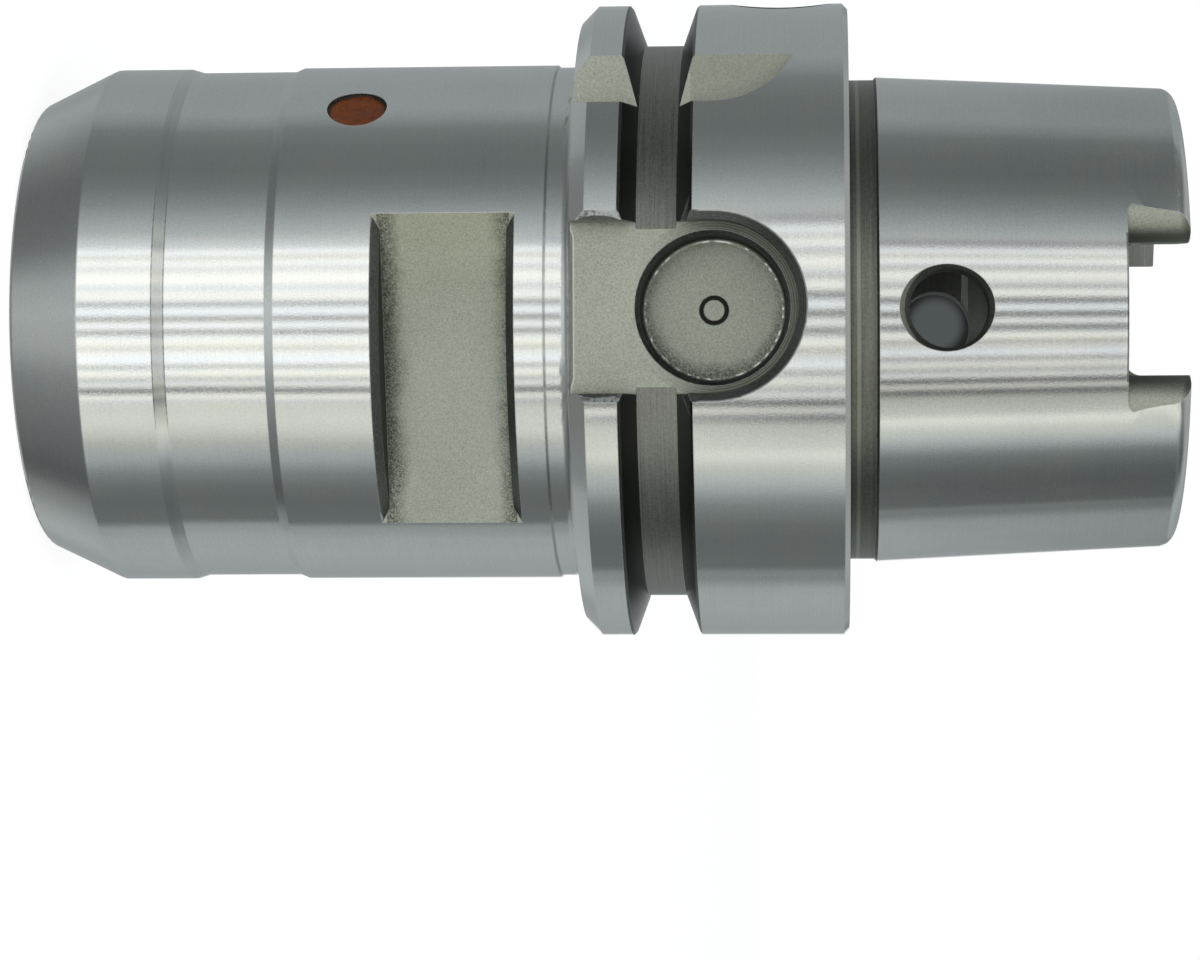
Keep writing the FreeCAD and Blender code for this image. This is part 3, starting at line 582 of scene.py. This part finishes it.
def steady_normals(mesh, zone):
    """Gives the ground outside and the first step the exact normals of their cylinders and
    tapers, so that gleams run straight along them. The other faces keep their own normals."""
    near, steepest = 0.03, 5
    corners = np.empty(len(mesh.loops) * 3, np.float32)
    mesh.corner_normals.foreach_get("vector", corners)
    corners = corners.reshape(-1, 3)
    starts = np.empty(len(mesh.polygons), np.int32)
    mesh.polygons.foreach_get("loop_start", starts)
    polygon = np.searchsorted(starts, np.arange(len(mesh.loops)), side="right") - 1
    vertex = np.empty(len(mesh.loops), np.int32)
    mesh.loops.foreach_get("vertex_index", vertex)
    points = np.empty(len(mesh.vertices) * 3, np.float32)
    mesh.vertices.foreach_get("co", points)
    points = points.reshape(-1, 3)[vertex]
    # The stretch of the outside that each polygon is level with, and the corners that lie on it
    middle = polygon_values(mesh, "center") / MM
    heights, radii = np.array(SKIN).T
    run = np.clip(np.searchsorted(heights, middle[:, 2]), 1, len(heights) - 1)
    slope = (radii[run] - radii[run - 1]) / (heights[run] - heights[run - 1])
    height, radius = points[:, 2] / MM, np.hypot(points[:, 0], points[:, 1]) / MM
    first = run[polygon] - 1
    off = np.abs(radii[first] + slope[polygon] * (height - heights[first]) - radius)
    inside = (height > heights[first] - near) & (height < heights[first + 1] + near)
    steady = np.logical_and.reduceat((off < near) & inside, starts)
    steady &= (zone == ZONES.index("ground")) | (zone == ZONES.index("slope"))
    steady &= np.abs(slope) < steepest
    chosen = steady[polygon]
    flat = points[:, :2] / np.hypot(points[:, 0], points[:, 1])[:, None]
    fresh = np.column_stack([flat, -slope[polygon]])
    fresh /= np.linalg.norm(fresh, axis=1)[:, None]
    corners[chosen] = fresh[chosen]
    mesh.normals_split_custom_set(corners.tolist())


def thread_piece(name, core, root, start, end, carry, wall, reach=None):
    """An internal thread as one helical strip from start to end along +Z of carry. It runs out
    into the wall's radius at its ends, and nowhere goes further than reach gives for an angle."""
    turns = int(math.ceil((end - start) / THREAD_PITCH)) + 1
    # One turn's profile: each point's share of the pitch, and its radius
    profile = [(0.0, core), (0.17, core), (0.46, root), (0.58, root), (0.87, core)]
    work = bmesh.new()
    rows = []
    for step in range(turns * THREAD_STEPS + 1):
        turn = 2 * math.pi * step / THREAD_STEPS
        last = end if reach is None else min(end, reach(turn))
        row = []
        for share, radius in profile:
            height = start - THREAD_PITCH + THREAD_PITCH * (step / THREAD_STEPS + share)
            inside = min(max(height, start), last)
            if inside != height:
                radius = wall
            place = Vector((radius * math.cos(turn), radius * math.sin(turn), inside)) * MM
            row.append(work.verts.new(carry @ place))
        rows.append(row)
    for index, (row, after) in enumerate(zip(rows, rows[1:])):
        for lower in range(len(profile) - 1):
            work.faces.new((row[lower], row[lower + 1], after[lower + 1], after[lower]))
        ahead = index + THREAD_STEPS
        if ahead + 1 < len(rows):
            work.faces.new((row[-1], rows[ahead][0], rows[ahead + 1][0], after[-1]))
    bmesh.ops.remove_doubles(work, verts=work.verts, dist=2e-6)
    bmesh.ops.dissolve_degenerate(work, edges=work.edges, dist=1e-6)
    mesh = bpy.data.meshes.new(name)
    work.to_mesh(mesh)
    work.free()
    mesh.materials.append(MATERIALS["thread"])
    return added(name, mesh)


def body_piece():
    """The body with a finish on each of its faces and an open wall where the thread is."""
    mesh = NODES["chuck_body"].data.copy()
    mesh.name = "dressed_body"
    x, y, z = (polygon_values(mesh, "center") / MM).T
    wall = (np.abs(np.hypot(x, y) - THREAD_RADIUS) < 0.06) & (z > THREAD_START) & (z < THREAD_END)
    drop_faces(mesh, wall)
    mesh.materials.clear()
    for material in MATERIALS.values():
        mesh.materials.append(material)
    zone = body_zones(mesh)
    mesh.polygons.foreach_set("material_index", zone.astype(np.int32))
    steady_normals(mesh, zone)
    mesh.update()
    piece = added("dressed_body", mesh)
    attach(piece, "holder")
    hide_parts("chuck_body")


def bore_mouth(turn):
    """How far out the pressure bore's thread goes on the side at an angle, short of the skin."""
    sideways = PRESS_OFFSET + PRESS_RADIUS * math.cos(turn)
    return math.sqrt(BODY_RADIUS ** 2 - sideways ** 2) - 0.45


body_piece()
coolant_thread = thread_piece("coolant_thread", THREAD_RADIUS, THREAD_ROOT, THREAD_START,
                              THREAD_END, Matrix.Identity(4), THREAD_RADIUS)
outer_side = Vector((PRESS_BASE.x, PRESS_BASE.y, 0.0)).normalized()
bore_turn = Matrix((outer_side, PRESS_OUT.cross(outer_side), PRESS_OUT)).transposed().to_4x4()
pressure_thread = thread_piece("pressure_thread", PRESS_CORE, PRESS_ROOT,
                               PRESS_THREAD_START, PRESS_THREAD_END,
                               Matrix.Translation(PRESS_BASE * MM) @ bore_turn,
                               PRESS_RADIUS + 0.02, reach=bore_mouth)
for thread in (coolant_thread, pressure_thread):
    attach(thread, "holder")


# ---- finishes of the other pieces ------------------------------------------------------------

black_oxide = metal("black_oxide", (0.022, 0.022, 0.023), (0.06, 0.06, 0.062), (0.30, 0.42),
                    lines=0.8, line_width=0.2, grain=1.5, grain_width=0.2, spread=0.7, edge=0.10,
                    edge_colour=(0.22, 0.22, 0.22))
honed = metal("honed_bore", (0.50, 0.51, 0.51), (0.66, 0.67, 0.66), (0.14, 0.22), lines=0.3,
              line_width=0.1, grain=0.3, grain_width=0.15, spread=0.5, edge=0.12)
polished = metal("polished_steel", (0.60, 0.61, 0.61), (0.70, 0.71, 0.70), (0.08, 0.14),
                 lines=0.1, grain=0.1, spread=0.5)
rubber = soft("seal_rubber", (0.012, 0.012, 0.012), (0.03, 0.03, 0.03), (0.55, 0.7), 0.25, 0.004)
backing = soft("backing_ring", (0.66, 0.65, 0.60), (0.78, 0.77, 0.73), (0.4, 0.5), 0.3, 0.002)
FINISHES = {
    "expansion_sleeve": honed,
    "clamping_screw": black_oxide,
    "vent_screw": black_oxide,
    "length_screw": black_oxide,
    "piston": polished,
    "vent_ball": polished,
    "piston_seal": rubber,
    "length_screw_seal": rubber,
    "piston_backup_ring": backing,
}
for name, finish in FINISHES.items():
    for slot in NODES[name].material_slots:
        slot.material = finish


# ---- the vent's seal -------------------------------------------------------------------------

# How far the compound's rim stands out past its CAD node, in millimetres, and the points of its
# upper side from the rim to the middle: the share of the radius and the depth below the rim
PLUG_RISE = 0.34
PLUG_UPPER = [
    (1.0, 0.03), (0.985, 0.0), (0.955, 0.03), (0.92, 0.12), (0.87, 0.19), (0.78, 0.225),
    (0.65, 0.215), (0.5, 0.195), (0.35, 0.20), (0.2, 0.21), (0.0, 0.21),
]
PLUG_STEPS = 64


def plug_piece():
    """The compound that seals the vent: a little sunk in the middle and drawn up at its rim,
    which reaches almost to the skin."""
    low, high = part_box("vent_plug")
    node = NODES["vent_plug"].data
    points = np.array([tuple(corner.co) for corner in node.vertices]) / MM
    out = Vector((points[:, 0].mean(), points[:, 1].mean(), 0.0)).normalized()
    depth = points[:, 0] * out.x + points[:, 1] * out.y
    centre = (low[2] + high[2]) / 2 / MM
    side = Vector((0, 0, 1)).cross(out)
    sideways = points[:, 0] * side.x + points[:, 1] * side.y
    radius = np.hypot(sideways, points[:, 2] - centre).max() - 0.02
    bottom, top = depth.min() + 0.01, depth.max() + PLUG_RISE
    profile = [(0.0, bottom), (0.5, bottom), (1.0, bottom), (1.0, (bottom + top) / 2)]
    profile += [(share, top - down) for share, down in PLUG_UPPER]
    work = bmesh.new()
    rows = []
    for share, level in profile:
        row = []
        # The upper side inside the rim is a little uneven
        wave = 0.035 * math.sin(5 * share) if share < 0.93 and level > bottom + 0.2 else 0.0
        for step in range(1 if share == 0.0 else PLUG_STEPS):
            turn = 2 * math.pi * step / PLUG_STEPS
            spot = out * (level + wave * math.sin(2 * turn + 0.7))
            spot += side * (radius * share * math.cos(turn))
            spot.z += centre + radius * share * math.sin(turn)
            row.append(work.verts.new(spot * MM))
        rows.append(row)
    for first, second in zip(rows, rows[1:]):
        for step in range(PLUG_STEPS):
            ahead = (step + 1) % PLUG_STEPS
            corners = [first[step % len(first)], second[step % len(second)],
                       second[ahead % len(second)], first[ahead % len(first)]]
            work.faces.new(list(dict.fromkeys(corners)))
    bmesh.ops.recalc_face_normals(work, faces=work.faces)
    for face in work.faces:
        face.smooth = True
    mesh = bpy.data.meshes.new("sealed_vent")
    work.to_mesh(mesh)
    work.free()
    mesh.materials.append(compound(side, centre, radius))
    piece = added("sealed_vent", mesh)
    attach(piece, "holder")
    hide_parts("vent_plug")


def compound(side, centre, radius):
    """Red-brown sealing compound with painted shade where it meets the hole. side is the direction
    across the hole, and centre and radius are the hole's height and radius in millimetres."""
    material, graph, shader, place = new_material("sealing_compound")
    up = graph.minus(graph.split(place)[2], centre * MM)
    reach = graph.length(graph.vector("DOT_PRODUCT", place, side), up)
    specks = graph.noise(place, 2600.0, 3.0, 0.6)
    clouds = graph.noise(place, 520.0, 2.0, 0.5)
    tone = graph.plus(graph.times(specks, 0.6), graph.times(clouds, 0.4))
    colour = graph.mix(graph.remap(tone, 0.34, 0.64), (0.13, 0.0255, 0.002), (0.255, 0.062, 0.006))
    # Painted shade round the rim, where the compound meets the hole's wall
    ragged = graph.plus(reach, graph.times(clouds, 0.5 * MM))
    rim = graph.remap(ragged, (radius - 0.22) * MM, (radius + 0.12) * MM)
    colour = graph.mix(rim, colour, (0.022, 0.014, 0.009))
    shader.inputs["Specular IOR Level"].default_value = 0.3
    graph.put(shader.inputs["Base Color"], colour)
    graph.put(shader.inputs["Roughness"], graph.remap(tone, 0.3, 0.7, 0.36, 0.55))
    graph.put(shader.inputs["Normal"], graph.bump(tone, 0.03 * MM))
    return material


plug_piece()


# ---- light, floor and camera -----------------------------------------------------------------

# The studio round the chuck: brightness by bearing round the spindle axis (0 is the camera's
# side, positive towards -X), level with the chuck, and far above or below it
LEVEL = [
    (-180, 0.36), (-166, 0.40), (-154, 0.43), (-142, 0.49), (-128, 0.54), (-115, 0.54),
    (-105, 0.44), (-102.5, 0.22), (-88, 0.20), (-80, 0.23), (-72, 0.33), (-65, 0.54),
    (-57, 0.66), (-51, 0.92), (-46, 1.06), (-39, 1.02), (-36, 1.48), (-30, 1.64), (30, 1.70),
    (31.5, 1.12), (34, 0.92), (38, 0.70), (45, 0.53), (52, 0.38), (60, 0.27), (70, 0.22),
    (82, 0.23), (94, 0.28), (99, 0.37), (107, 0.45), (143, 0.42), (180, 0.36),
]
APART = [
    (-180, 0.60), (-156, 0.60), (-142, 0.56), (-128, 0.475), (-119, 0.345), (-112, 0.285),
    (-105, 0.145), (-96, 0.135), (-87, 0.185), (-79, 0.20), (-60, 0.29), (-39, 0.41),
    (-18, 0.71), (5, 0.835), (27, 0.68), (48, 0.33), (60, 0.24), (70, 0.21), (85, 0.19),
    (93, 0.205), (102, 0.245), (109, 0.285), (118, 0.365), (130, 0.455), (146, 0.56), (180, 0.60),
]
# The share of APART far below the level, and the brightness straight below and overhead
LOW_SHARE = 0.78
BELOW = 0.28
OVER = 0.50
# The world's strength, by which the colours written into it are divided
STRENGTH = 2.0
# Dark gaps between the light strips on the camera's side: bearing, half width and depth
GAPS = [
    (27.2, 1.0, 0.42), (21.7, 1.5, 0.26), (13.7, 1.2, 0.25), (6.4, 1.05, 0.72), (-0.1, 1.15, 0.80),
    (-5.95, 1.15, 0.78), (-13.0, 1.2, 0.34), (-21.2, 1.1, 0.58), (-26.9, 1.25, 0.60),
    (-31.75, 1.4, 1.0), (-37.3, 1.1, 0.45),
]
# The same for the flange and shank, which stand closer to the strips or lean towards them, and
# the share of the strips' light that they see
WIDER_GAPS = [
    (33.6, 1.7, 0.50), (28.2, 1.3, 0.20), (22.3, 1.4, 0.34), (20.1, 1.1, 0.24), (16.3, 1.1, 0.30),
    (12.8, 1.3, 0.54), (6.2, 1.7, 0.68), (-0.6, 1.8, 0.66), (-7.2, 1.6, 0.68), (-13.2, 1.5, 0.44),
    (-16.0, 1.0, 0.40), (-20.1, 2.2, 0.26), (-25.0, 3.4, 0.24), (-32.0, 1.3, 0.58),
    (-37.2, 1.9, 0.92), (-42.5, 5.0, 0.28), (-108.5, 4.5, 0.34),
]
STRIP_SHARE = 0.84
# A ramp holds 32 stops: two ends and six gaps with five stops each, at these shares of a gap's
# half width. A ramp starts and ends three half widths outside its gaps.
GAPS_IN_RAMP = 6
GAP_STOPS = (-1.7, -0.75, 0.0, 0.75, 1.7)
GAP_REACH = 3
# Where the studio's parts fade in and out, in degrees. By bearing: the strips in front, the
# lighter stretch and the warmer one beside them, and the shade of the two sides
FRONT_IN = (39.0, 36.0)
LIFT_IN, LIFT_OUT = (-70.0, -58.0), (-47.0, -52.0)
WARM_IN, WARM_OUT = (-66.0, -54.0), (-34.0, -38.0)
SHADE_SIDES = (-66.0, -70.0)
# By height: level with the chuck, what the flange and shank see, the sides' shade, the lower
# part of APART, overhead and straight below
NEAR_IN, NEAR_OUT = (-34.0, -22.0), (44.0, 32.0)
CLOSE_IN = (-5.5, -1.5)
SHADE_IN, SHADE_OUT = (2.0, 8.0), (16.0, 12.0)
LOW_IN = (-55.5, -58.5)
OVER_IN = (48.0, 62.0)
BELOW_IN = (-64.5, -69.0)
# The grey backdrop that shows through the cross holes of the shank: the direction of its middle,
# the half angles within which it is grey and up to which it fades, and the end of its shade.
# Mirrored, the shade goes on up to the last two angles.
BACKDROP_WAY = Vector((-0.0461, 0.9984, 0.0335)).normalized()
BACKDROP_ANGLES = (0.30, 0.52, 0.60, 0.70, 4.0, 5.2)


def gaps_between(graph, bearing, gaps):
    """What is left of the light at a bearing after the dark gaps."""
    kept = 1.0
    ordered = sorted(gaps)
    for first in range(0, len(ordered), GAPS_IN_RAMP):
        group = ordered[first:first + GAPS_IN_RAMP]
        start = group[0][0] - GAP_REACH * group[0][1]
        end = group[-1][0] + GAP_REACH * group[-1][1]
        spots = {start, end}
        for centre, width, _ in group:
            spots.update(centre + width * part for part in GAP_STOPS)
        stops = []
        for spot in sorted(spot for spot in spots if start <= spot <= end):
            left = math.prod(1.0 - depth * math.exp(-((spot - centre) / width) ** 2)
                             for centre, width, depth in group)
            stops.append(((spot - start) / (end - start), left))
        share = graph.remap(bearing, start, end, kind="LINEAR")
        kept = graph.times(kept, graph.ramp(share, stops))
    return kept


def round_about(graph, share, table):
    """A table's brightness at a share of the whole turn."""
    return graph.ramp(share, [((place + 180) / 360, value / STRENGTH) for place, value in table])


def studio():
    """The world: the light round the chuck, and what the camera sees behind it."""
    world = bpy.data.worlds.new("studio")
    bpy.context.scene.world = world
    world.use_nodes = True
    graph = Graph(world.node_tree)
    way = graph.node("ShaderNodeTexCoord").outputs["Generated"]
    x, y, z = graph.split(way)
    bearing = graph.times(graph.math("ARCTAN2", x, graph.times(y, -1.0)), -180.0 / math.pi)
    rise = graph.times(graph.math("ARCSINE", z), 180.0 / math.pi)
    front = graph.remap(graph.math("ABSOLUTE", bearing), *FRONT_IN)

    # The strips in front, with their gaps and an uneven brightness
    ripple = graph.noise(graph.join(graph.times(bearing, 0.55), 3.7, 0.0), 1.0, 3.0, 0.6)
    kept = graph.times(gaps_between(graph, bearing, GAPS),
                       graph.remap(ripple, 0.3, 0.7, 0.90, 1.10, "LINEAR"))
    kept = graph.faded(kept, front)

    # What the flange and shank see of them, and the lighter stretch beside them
    lift = graph.times(graph.remap(bearing, *LIFT_IN), graph.remap(bearing, *LIFT_OUT))
    wider = graph.times(gaps_between(graph, bearing, WIDER_GAPS),
                        graph.minus(1.0, graph.times(front, 1.0 - STRIP_SHARE)),
                        graph.plus(1.0, graph.times(lift, 0.30)))
    kept = graph.times(kept, graph.faded(wider, graph.remap(rise, *CLOSE_IN)))

    # The shade of the two sides
    shade = graph.times(graph.remap(rise, *SHADE_IN), graph.remap(rise, *SHADE_OUT),
                        graph.remap(bearing, *SHADE_SIDES, 0.19, 0.29),
                        graph.minus(1.0, front), graph.minus(1.0, lift))
    kept = graph.times(kept, graph.minus(1.0, shade))

    # The light's colour
    patches = graph.noise(graph.join(bearing, 9.1, 0.0), 0.21, 1.0)
    tint = graph.mix(graph.remap(patches, 0.42, 0.58), (0.97, 1.0, 1.045), (1.02, 1.0, 0.94))
    warm = graph.times(graph.remap(bearing, *WARM_IN), graph.remap(bearing, *WARM_OUT))
    sides = graph.mix(warm, (0.93, 1.0, 1.02), (0.985, 1.0, 0.93))
    strips = graph.vector("SCALE", graph.mix(front, sides, tint), kept)

    # Level with the chuck, far above or below it, overhead and straight below
    share = graph.remap(bearing, -180.0, 180.0, kind="LINEAR")
    lit = graph.vector("MULTIPLY", round_about(graph, share, LEVEL), strips)
    dimmed = graph.vector("SCALE", round_about(graph, share, APART),
                          graph.remap(rise, *LOW_IN, 1.0, LOW_SHARE))
    cool = graph.vector("MULTIPLY", dimmed, (0.95, 1.0, 1.02))
    near = graph.times(graph.remap(rise, *NEAR_IN), graph.remap(rise, *NEAR_OUT))
    colour = graph.mix(near, cool, lit)
    colour = graph.mix(graph.remap(rise, *OVER_IN), colour, (OVER / STRENGTH,) * 3)
    colour = graph.mix(graph.remap(rise, *BELOW_IN), colour, (BELOW / STRENGTH,) * 3)

    # The white behind the chuck, with the grey backdrop in it
    aligned = graph.vector("DOT_PRODUCT", way, BACKDROP_WAY)
    grey, faded, shade_start, shade_end, mirror_start, mirror_end = (
        math.cos(math.radians(angle)) for angle in BACKDROP_ANGLES)
    mirrored = graph.seen_by("Is Glossy Ray")
    shaded = graph.mix(graph.remap(aligned, faded, grey), (0.009, 0.009, 0.0085),
                       (0.040, 0.045, 0.046))
    behind = graph.most(graph.remap(aligned, shade_end, shade_start),
                        graph.times(graph.remap(aligned, mirror_end, mirror_start), mirrored))
    backdrop = graph.mix(behind, (1.0 / STRENGTH,) * 3, shaded)
    white = graph.most(graph.seen_by("Is Camera Ray", "Is Transmission Ray"),
                       graph.times(graph.remap(y, 0.970, 0.990), mirrored))
    background = graph.node("ShaderNodeBackground")
    background.inputs["Strength"].default_value = STRENGTH
    graph.put(background.inputs["Color"], graph.mix(white, colour, backdrop))
    graph.output("ShaderNodeOutputWorld", background)


def floor():
    """A pale floor a little below the nose, which takes the chuck's shadow. Its glow makes it
    white for the camera and lights nothing. Gleams show the studio in its place."""
    size, drop, glow = 4.0, 0.00002, 0.84
    mesh = bpy.data.meshes.new("floor")
    mesh.from_pydata([(-size, -size, 0), (size, -size, 0), (size, size, 0), (-size, size, 0)], [],
                     [(0, 1, 2, 3)])
    piece = added("floor", mesh)
    piece.location.z = -drop
    material = bpy.data.materials.new("floor")
    material.use_nodes = True
    graph = Graph(material.node_tree)
    paint = graph.node("ShaderNodeBsdfDiffuse")
    paper = graph.noise(graph.node("ShaderNodeTexCoord").outputs["Object"], 900.0, 2.0)
    graph.put(paint.inputs["Color"], graph.mix(paper, (0.30, 0.30, 0.30), (0.32, 0.32, 0.32)))
    light = graph.node("ShaderNodeEmission")
    seen = graph.seen_by("Is Camera Ray", "Is Transmission Ray", "Is Glossy Ray")
    graph.put(light.inputs["Strength"], graph.times(seen, glow))
    both = graph.node("ShaderNodeAddShader")
    graph.put(both.inputs[0], paint.outputs[0])
    graph.put(both.inputs[1], light.outputs[0])
    graph.output("ShaderNodeOutputMaterial", both)
    mesh.materials.append(material)
    piece.visible_glossy = False


def lamp(name, place, power, size):
    """A square lamp of a power in watts and a size in metres that faces the chuck."""
    data = bpy.data.lights.new(name, "AREA")
    data.energy = power
    data.size = size
    made = added(name, data)
    made.location = place
    made.rotation_mode = "QUATERNION"
    aim = Vector((0, 0, 0.05)) - Vector(place)
    made.rotation_quaternion = aim.to_track_quat("-Z", "Y")
    made.visible_glossy = False


def camera(place, forward, up, lens):
    """The camera at a place in millimetres, with the directions of its view and of its top."""
    data = bpy.data.cameras.new("camera")
    data.sensor_width = 36.0
    data.lens = lens
    made = added("camera", data)
    forward = Vector(forward).normalized()
    right = forward.cross(Vector(up)).normalized()
    turn = Matrix((right, right.cross(forward), -forward)).transposed().to_4x4()
    made.matrix_world = Matrix.Translation(Vector(place) * MM) @ turn
    bpy.context.scene.camera = made


studio()
floor()
lamp("top_light", (0.25, -0.35, 0.95), 3.2, 0.9)
lamp("side_light", (-0.8, -0.3, 0.6), 1.6, 0.9)
camera((16.6914, -349.9378, 77.0481), (-0.00224145, 0.99802705, -0.06274539),
       (-0.99998945, -0.00198542, 0.00414243), 104.459)
bpy.context.scene.view_settings.view_transform = "Standard"
